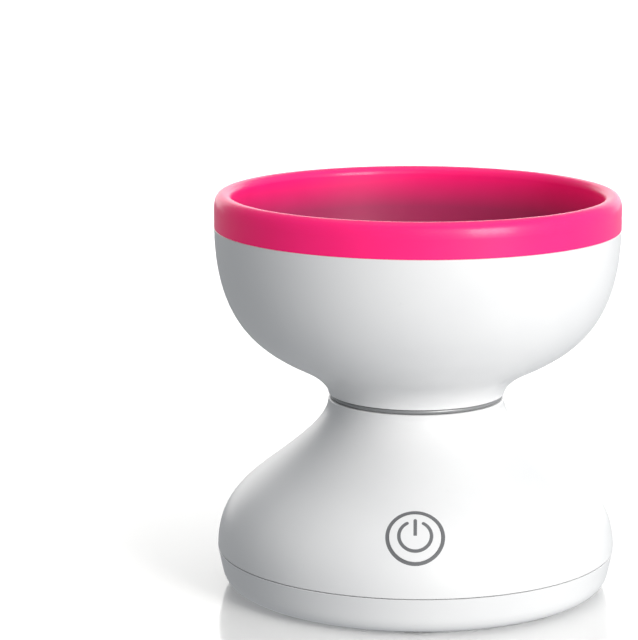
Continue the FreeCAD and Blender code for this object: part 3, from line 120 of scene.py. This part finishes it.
def mix_colours(tree, factor, place, first, second):
    """The first colour where the factor is 0, and the second, a socket or numbers, where it is 1."""
    node = add(tree, "ShaderNodeMix", place)
    node.data_type = "RGBA"
    tree.links.new(factor, node.inputs["Factor"])
    tree.links.new(first, node.inputs["A"])
    if isinstance(second, tuple):
        node.inputs["B"].default_value = (*second, 1.0)
    else:
        tree.links.new(second, node.inputs["B"])
    return node.outputs["Result"]


def calculate(tree, operation, place, first, second=None, vectors=True):
    """The result of a maths node; an operand is a socket, or numbers."""
    node = add(tree, "ShaderNodeVectorMath" if vectors else "ShaderNodeMath", place)
    node.operation = operation
    for socket, operand in zip(node.inputs, (first, second)):
        if isinstance(operand, tuple):
            socket.default_value = operand
        elif operand is not None:
            tree.links.new(operand, socket)
    scalar = not vectors or operation in ("LENGTH", "DOT_PRODUCT")
    return node.outputs["Value" if scalar else "Vector"]


def bump(tree, shader, height, place, strength, distance):
    """Fine relief on the shader's normal; distance is its depth in metres."""
    node = add(tree, "ShaderNodeBump", place, Strength=strength, Distance=distance)
    tree.links.new(height, node.inputs["Height"])
    tree.links.new(node.outputs["Normal"], shader.inputs["Normal"])


def shade(colour, amount):
    """The colour made lighter or darker by a factor."""
    return tuple(min(1.0, channel * amount) for channel in colour)


def finish(name, colour, roughness, metal=0.0, grain=900.0, depth=0.00002, spread=0.06,
           blotch=60.0, stretch=None, coat=0.0):
    """A material with blotchy colour, uneven gloss and a fine grain in relief."""
    material, tree, shader, coords = start_material(name)
    shader.inputs["Metallic"].default_value = metal
    shader.inputs["Coat Weight"].default_value = coat
    shader.inputs["Coat Roughness"].default_value = 0.08
    if stretch:
        mapping = add(tree, "ShaderNodeMapping", (-3, 0), Scale=stretch)
        tree.links.new(coords, mapping.inputs["Vector"])
        coords = mapping.outputs["Vector"]
    patches = noise(tree, coords, (-2, 1), blotch)
    fine = noise(tree, coords, (-2, -1), grain, 2.0)
    tint = ramp(tree, patches, (0, 1), shade(colour, 1 - spread), shade(colour, 1 + spread / 2))
    tree.links.new(tint, shader.inputs["Base Color"])
    gloss = remap(tree, fine, (0, 0), roughness * 0.88, roughness * 1.14)
    tree.links.new(gloss, shader.inputs["Roughness"])
    bump(tree, shader, fine, (1, -1), 0.35, depth)
    return material


# ---------------------------------------------------------------- materials

def moulded_white(name, scuffs):
    """Satin white ABS: a faint orange-peel skin, and scuffs where the case is handled."""
    material, tree, shader, coords = start_material(name)
    shader.inputs["Specular IOR Level"].default_value = 0.5
    clouds = noise(tree, coords, (-2, 2), 35.0)
    base = ramp(tree, clouds, (-1, 2), (0.80, 0.80, 0.805), (0.83, 0.83, 0.83))
    specks = noise(tree, coords, (-2, 1), 420.0, 6.0, 0.7)
    wear = remap(tree, specks, (-1, 1), 0.0, scuffs, 0.66, 0.78)
    worn = mix_colours(tree, wear, (1, 2), base, (0.62, 0.62, 0.62))
    tree.links.new(worn, shader.inputs["Base Color"])
    gloss = remap(tree, clouds, (-1, 0), 0.30, 0.36)
    tree.links.new(gloss, shader.inputs["Roughness"])
    skin = noise(tree, coords, (-2, -1), 1400.0, 2.0)
    bump(tree, shader, skin, (1, -1), 0.18, 0.00001)
    return material


LIP_RADII = (49.2 * MM, 50.6 * MM)      # the liner's painted shade stops outside these
LIP_HEIGHTS = (94.0 * MM, 103.0 * MM)   # and above these
BOWL_FOCUS = (0, 0, 120 * MM)           # the liner's inner side faces this point


def shaded_inner_side(tree, coords):
    """A mask for painted shade: 1 on the liner's inner side below its lip, 0 on the lip and on the
    outer side.
    """
    parts = add(tree, "ShaderNodeSeparateXYZ", (-3, 3))
    tree.links.new(coords, parts.inputs["Vector"])
    flat = calculate(tree, "MULTIPLY", (-2, 4), coords, (1.0, 1.0, 0.0))
    radius = calculate(tree, "LENGTH", (-1, 4), flat)
    inside = remap(tree, radius, (0, 4), 1.0, 0.0, *LIP_RADII)
    below = remap(tree, parts.outputs["Z"], (0, 3), 1.0, 0.0, *LIP_HEIGHTS)
    normals = add(tree, "ShaderNodeTexCoord", (-4, 6)).outputs["Normal"]
    to_focus = calculate(tree, "SUBTRACT", (-3, 6), BOWL_FOCUS, coords)
    turned = calculate(tree, "DOT_PRODUCT", (-2, 6), to_focus, normals)
    inward = remap(tree, turned, (-1, 6), 0.0, 1.0, -4 * MM, 2 * MM)
    both = calculate(tree, "MULTIPLY", (1, 3), inside, below, vectors=False)
    return calculate(tree, "MULTIPLY", (2, 3), both, inward, vectors=False)


def silicone(name):
    """Hot pink silicone: a soft sheen, light scattered inside it, fine mottling, and a painted glow
    from a faint emission, standing in for a very saturated pigment. Painted shade deepens the inner
    side below the lip."""
    material, tree, shader, coords = start_material(name)
    shader.inputs["Subsurface Weight"].default_value = 0.10
    shader.inputs["Subsurface Scale"].default_value = 1.2 * MM
    shader.inputs["Subsurface Radius"].default_value = (1.0, 0.25, 0.4)
    shader.inputs["Specular IOR Level"].default_value = 0.25
    shader.inputs["Coat Weight"].default_value = 0.35
    shader.inputs["Coat Roughness"].default_value = 0.22
    # painted glow: a faint emission that makes the pink look brighter
    shader.inputs["Emission Strength"].default_value = 0.19
    clouds = noise(tree, coords, (-2, 1), 45.0)
    own_pink = ramp(tree, clouds, (0, 2), (0.88, 0.010, 0.180), (0.93, 0.014, 0.200))
    # painted shade: a darker, greyer pink for the inner wall below the lip, where the bowl is in
    # shade
    painted_shade_pink = ramp(tree, clouds, (0, 1), (0.36, 0.030, 0.115), (0.42, 0.038, 0.135))
    # mask of the painted shade: the inner side below the lip
    painted_shade_mask = shaded_inner_side(tree, coords)
    colour = mix_colours(tree, painted_shade_mask, (2, 2), own_pink, painted_shade_pink)
    tree.links.new(colour, shader.inputs["Base Color"])
    # painted glow: strong on the lip and outer side, weak under the painted shade
    painted_glow = ramp(tree, painted_shade_mask, (1, 4), (1.0, 0.0, 0.10), (0.30, 0.02, 0.06), 0.0, 1.0)
    tree.links.new(painted_glow, shader.inputs["Emission Color"])
    gloss = remap(tree, clouds, (0, 0), 0.44, 0.52)
    tree.links.new(gloss, shader.inputs["Roughness"])
    skin = noise(tree, coords, (-2, -1), 2200.0, 2.0)
    bump(tree, shader, skin, (1, -1), 0.2, 0.00001)
    return material


def brushed(name, colour, roughness):
    """Turned metal, with its grain drawn out round the axis."""
    return finish(name, colour, roughness, metal=1.0, grain=2500.0, depth=0.000004,
                  spread=0.08, blotch=140.0, stretch=(0.25, 0.25, 3.0))


def floor_paint(name):
    """Pale studio floor with a soft gloss."""
    material, tree, shader, coords = start_material(name)
    clouds = noise(tree, coords, (-2, 1), 3.0)
    tint = ramp(tree, clouds, (0, 1), (0.58, 0.58, 0.583), (0.60, 0.60, 0.60))
    tree.links.new(tint, shader.inputs["Base Color"])
    gloss = remap(tree, clouds, (0, 0), 0.10, 0.13)
    tree.links.new(gloss, shader.inputs["Roughness"])
    return material


def slot_materials():
    """One material for each material slot of the record."""
    return {
        "white_abs": moulded_white("white_abs", 0.25),
        "pink_silicone": silicone("pink_silicone"),
        "grey_trim": finish("grey_trim", (0.155, 0.158, 0.165), 0.42, spread=0.10),
        "black_rubber": finish("black_rubber", (0.02, 0.02, 0.021), 0.62, grain=1500.0,
                               depth=0.00004, spread=0.25),
        "steel": brushed("steel", (0.58, 0.58, 0.59), 0.28),
        "bright_steel": brushed("bright_steel", (0.74, 0.74, 0.73), 0.16),
        "bronze": brushed("bronze", (0.62, 0.40, 0.17), 0.30),
        "acetal": finish("acetal", (0.76, 0.74, 0.68), 0.38),
        "black_plastic": finish("black_plastic", (0.025, 0.025, 0.027), 0.48, spread=0.2),
        "ferrite": finish("ferrite", (0.045, 0.045, 0.05), 0.58, metal=0.2, grain=1800.0,
                          depth=0.00003, spread=0.3),
        "copper": brushed("copper", (0.72, 0.30, 0.14), 0.26),
        "cell_case": finish("cell_case", (0.03, 0.13, 0.38), 0.22, spread=0.06, coat=0.5),
        "circuit_board": finish("circuit_board", (0.01, 0.13, 0.045), 0.34, spread=0.25,
                                blotch=900.0, coat=0.4),
        "pale_plastic": finish("pale_plastic", (0.72, 0.67, 0.56), 0.45),
        "red_insulation": finish("red_insulation", (0.50, 0.012, 0.012), 0.36),
        "black_insulation": finish("black_insulation", (0.014, 0.014, 0.015), 0.36),
    }


def dress_nodes(materials):
    """Gives every CAD node the material of its slot, and the neck ring its own satin grey."""
    for part in frame["record"]["subparts"]:
        node = NODES[part["node"]]
        node.data.materials.clear()
        node.data.materials.append(materials[part["material_slot"]])
    ring = NODES["neck_ring"].data.materials
    ring.clear()
    ring.append(finish("ring_grey", (0.34, 0.345, 0.35), 0.36, metal=0.4, grain=1800.0,
                       depth=0.000006, spread=0.08, stretch=(1.0, 1.0, 4.0)))


# ---------------------------------------------------------------- liner's scrubbing relief

def surface_probe(node):
    """A function that gives the top surface and its normal at a plan position."""
    tree = BVHTree.FromObject(node, bpy.context.evaluated_depsgraph_get())
    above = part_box("silicone_liner")[1].z + 10 * MM

    def probe(x, y):
        point, normal, _, _ = tree.ray_cast(Vector((x, y, above)), Vector((0, 0, -1)))
        return point, normal

    return probe


def rounded_rib(vertices, faces, path, width, height, root):
    """Adds a closed rounded bead along a path of (point, normal) pairs, tapered at its ends."""
    arc_steps = 8
    ring_size = arc_steps + 1
    first = len(vertices)
    count = len(path)
    for number, (point, normal) in enumerate(path):
        ahead = path[min(number + 1, count - 1)][0] - path[max(number - 1, 0)][0]
        side = ahead.cross(normal).normalized()
        share = number / (count - 1)
        taper = max(0.12, min(1.0, 1.9 * math.sin(math.pi * share) ** 0.6))
        for step in range(ring_size):
            angle = math.pi * step / arc_steps
            across = math.cos(angle) * width / 2 * (0.5 + 0.5 * taper)
            rise = math.sin(angle) * height * taper - root
            vertices.append(point + side * across + normal * rise)
    for number in range(count - 1):
        low = first + number * ring_size
        high = low + ring_size
        for step in range(ring_size):
            following = (step + 1) % ring_size
            faces.append((low + step, low + following, high + following, high + step))
    faces.append(tuple(first + step for step in reversed(range(ring_size))))
    last = first + (count - 1) * ring_size
    faces.append(tuple(last + step for step in range(ring_size)))


def rounded_nub(vertices, faces, point, normal, radius, height, root):
    """Adds a closed peg with a rounded tip, standing on the surface."""
    sides = 20
    turn = normal.to_track_quat("Z", "Y")
    # share of the radius, and height above the surface
    profile = [(1.0, -root), (1.0, 0.0), (0.86, height * 0.30), (0.76, height * 0.62),
               (0.64, height * 0.84), (0.40, height * 0.96)]
    first = len(vertices)
    for share, rise in profile:
        for step in range(sides):
            angle = 2 * math.pi * step / sides
            local = Vector((math.cos(angle) * radius * share,
                            math.sin(angle) * radius * share, rise))
            vertices.append(point + turn @ local)
    vertices.append(point + normal * height)
    tip = len(vertices) - 1
    for ring in range(len(profile) - 1):
        low = first + ring * sides
        for step in range(sides):
            following = (step + 1) % sides
            faces.append((low + step, low + following, low + sides + following,
                          low + sides + step))
    top = first + (len(profile) - 1) * sides
    for step in range(sides):
        faces.append((top + step, top + (step + 1) % sides, tip))
    faces.append(tuple(first + step for step in reversed(range(sides))))


def mesh_piece(name, vertices, faces, material):
    """A smooth-shaded mesh object with one material."""
    mesh = bpy.data.meshes.new(name)
    mesh.from_pydata([tuple(vertex) for vertex in vertices], [], faces)
    mesh.validate()
    mesh.polygons.foreach_set("use_smooth", [True] * len(mesh.polygons))
    mesh.materials.append(material)
    piece = bpy.data.objects.new(name, mesh)
    bpy.context.scene.collection.objects.link(piece)
    return piece


RIBS = 14
RIB_INNER_R, RIB_OUTER_R = 15.5 * MM, 43.5 * MM
RIB_WIDTH, RIB_HEIGHT, RIB_ROOT = 2.6 * MM, 1.7 * MM, 0.35 * MM
RIB_STEPS = 36
RIB_SWEEP = math.radians(34)    # how far a rib turns on its way out
RIB_CURL = 1.3                  # above 1, it turns more near its outer end
PEG_ROOT = 0.3 * MM
PEG_RINGS = (
    # ring radius in mm, number of pegs, peg radius in mm, peg height in mm
    (0.0, 1, 2.6, 2.4),
    (6.2, 7, 1.5, 2.2),
    (11.4, 14, 1.4, 2.0),
    (20.5, RIBS, 1.35, 2.0),
    (26.5, RIBS, 1.35, 2.0),
    (32.5, RIBS, 1.3, 1.9),
)


def rib_turn(share):
    """How far a rib has turned at a share of its way out."""
    return RIB_SWEEP * share ** RIB_CURL


def liner_relief(material):
    """Curved ribs up the liner's side and pegs on its floor, which scrub the bristles."""
    probe = surface_probe(NODES["silicone_liner"])
    reach = RIB_OUTER_R - RIB_INNER_R
    vertices, faces = [], []
    for rib in range(RIBS):
        path = []
        for step in range(RIB_STEPS + 1):
            share = step / RIB_STEPS
            radius = RIB_INNER_R + reach * share
            angle = 2 * math.pi * rib / RIBS + rib_turn(share)
            path.append(probe(radius * math.cos(angle), radius * math.sin(angle)))
        rounded_rib(vertices, faces, path, RIB_WIDTH, RIB_HEIGHT, RIB_ROOT)
    ribs_piece = mesh_piece("liner_ribs", vertices, faces, material)

    vertices, faces = [], []
    for ring_r, count, peg_r, peg_h in PEG_RINGS:
        radius = ring_r * MM
        share = max(0.0, (radius - RIB_INNER_R) / reach)
        for peg in range(count):
            angle = 2 * math.pi * (peg + 0.5) / count + rib_turn(share)
            point, normal = probe(radius * math.cos(angle), radius * math.sin(angle))
            rounded_nub(vertices, faces, point, normal, peg_r * MM, peg_h * MM, PEG_ROOT)
    pegs_piece = mesh_piece("liner_pegs", vertices, faces, material)
    for piece in (ribs_piece, pegs_piece):
        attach(piece, "liner")


# ---------------------------------------------------------------- stage, lights and camera

FLOOR_HALF = 6.0
LIGHTS = (
    # name, azimuth, elevation, distance, width, height, power
    ("key", 40.0, 15.0, 1.2, 0.5, 0.5, 11.1),
    ("front", 15.0, 20.0, 1.4, 0.7, 0.7, 1.15),
    ("overhead", 0.0, 88.0, 1.2, 1.2, 1.2, 3.0),
)
FLOOR_SUNS = (
    # azimuth, elevation, spread, strength
    (0.0, 85.0, 90.0, 0.25),
    (60.0, 40.0, 40.0, 0.55),
)
PANELS = 5
PANEL_AZIMUTH = 180.0       # the first panel stands behind the object
PANEL_DISTANCE = 3.0
PANEL_HEIGHT = 1.6
PANEL_RAISE = 0.6
PANEL_POWER = 41.8
WORLD_DIM = 0.285
WORLD_BRIGHT = 0.69
WORLD_COLOUR = (0.935, 0.967, 1.0)
LAMP_COLOUR = (1.0, 0.985, 0.96)
CAMERA_PLACE = (0.0, -0.6907, 0.2049)
CAMERA_YAW = -0.03715
CAMERA_PITCH = 0.19154      # downwards
CAMERA_LENS = 150.6
CAMERA_SENSOR = 36.0


def make_floor():
    """The pale floor. It sends no light on to the object, so that the object keeps its shading."""
    half = FLOOR_HALF
    corners = [(-half, -half, 0), (half, -half, 0), (half, half, 0), (-half, half, 0)]
    floor = mesh_piece("studio_floor", corners, [(0, 1, 2, 3)], floor_paint("studio_floor"))
    floor.visible_diffuse = False
    floor.visible_glossy = False
    floor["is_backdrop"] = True
    return floor


def towards(azimuth, elevation):
    """A direction in degrees: azimuth 0 is in front of the button, 90 to its right."""
    turn, rise = math.radians(azimuth), math.radians(elevation)
    return Vector((math.sin(turn) * math.cos(rise), -math.cos(turn) * math.cos(rise),
                   math.sin(rise)))


def place_object(name, data, rotation, location=(0, 0, 0)):
    """An object in the scene with its rotation as a quaternion."""
    placed = bpy.data.objects.new(name, data)
    placed.location = location
    placed.rotation_mode = "QUATERNION"
    placed.rotation_quaternion = rotation
    bpy.context.scene.collection.objects.link(placed)
    return placed


def area_light(name, azimuth, elevation, distance, width, height, power, target):
    """A softbox that faces the target from a direction."""
    data = bpy.data.lights.new(name, "AREA")
    data.shape = "RECTANGLE"
    data.size, data.size_y = width, height
    data.energy = power
    data.color = LAMP_COLOUR
    away = towards(azimuth, elevation)
    return place_object(name, data, away.to_track_quat("Z", "Y"), target + away * distance)


def floor_sun(receivers, azimuth, elevation, spread, strength):
    """A soft sun that lights nothing but the floor, so that the floor is white."""
    data = bpy.data.lights.new("floor_sun", "SUN")
    data.energy = strength
    data.angle = math.radians(spread)
    light = place_object("floor_sun", data, towards(azimuth, elevation).to_track_quat("Z", "Y"))
    light.light_linking.receiver_collection = receivers


def make_panels(receivers, target):
    """A ring of upright white panels for the floor to mirror; only the first lights more."""
    width = 2 * PANEL_DISTANCE * math.tan(math.pi / PANELS)
    middle = target + Vector((0, 0, PANEL_RAISE))
    for panel in range(PANELS):
        light = area_light("backdrop", PANEL_AZIMUTH + 360.0 * panel / PANELS, 0.0,
                           PANEL_DISTANCE, width, PANEL_HEIGHT, PANEL_POWER, middle)
        light.visible_camera = False
        if panel:
            light.light_linking.receiver_collection = receivers


def make_world():
    """Cool fill light all round, dimmer on the left."""
    world = bpy.data.worlds.new("studio")
    world.use_nodes = True
    tree = world.node_tree
    background = tree.nodes["Background"]
    background.inputs["Color"].default_value = (*WORLD_COLOUR, 1.0)
    coords = add(tree, "ShaderNodeTexCoord", (-3, 0))
    parts = add(tree, "ShaderNodeSeparateXYZ", (-2, 0))
    tree.links.new(coords.outputs["Generated"], parts.inputs["Vector"])
    strength = remap(tree, parts.outputs["X"], (-1, 0), WORLD_DIM, WORLD_BRIGHT, -1.0, 1.0)
    tree.links.new(strength, background.inputs["Strength"])
    bpy.context.scene.world = world


def make_lights(floor):
    target = (CAD_BOX[0] + CAD_BOX[1]) / 2
    for name, azimuth, elevation, distance, width, height, power in LIGHTS:
        area_light(name, azimuth, elevation, distance, width, height, power, target)
    receivers = bpy.data.collections.new("floor_receivers")
    receivers.objects.link(floor)
    for azimuth, elevation, spread, strength in FLOOR_SUNS:
        floor_sun(receivers, azimuth, elevation, spread, strength)
    make_panels(receivers, target)
    make_world()


def make_camera():
    """A long lens in front of the button, a little above the rim, looking slightly down."""
    data = bpy.data.cameras.new("camera")
    data.sensor_width = CAMERA_SENSOR
    data.lens = CAMERA_LENS
    data.clip_start, data.clip_end = 0.01, 50.0
    aim = Vector((math.sin(CAMERA_YAW) * math.cos(CAMERA_PITCH),
                  math.cos(CAMERA_YAW) * math.cos(CAMERA_PITCH), -math.sin(CAMERA_PITCH)))
    bpy.context.scene.camera = place_object("camera", data, aim.to_track_quat("-Z", "Y"),
                                            CAMERA_PLACE)


def write_sizes():
    """Puts the CAD box and the finished model's box side by side in a table that is not kept."""
    boxes = {"cad": CAD_BOX, "visual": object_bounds()}
    {name: [list(corner) for corner in box] for name, box in boxes.items()}


bpy.context.scene.view_settings.view_transform = "Standard"
MATERIALS = slot_materials()
dress_nodes(MATERIALS)
liner_relief(MATERIALS["pink_silicone"])
make_lights(make_floor())
make_camera()
write_sizes()
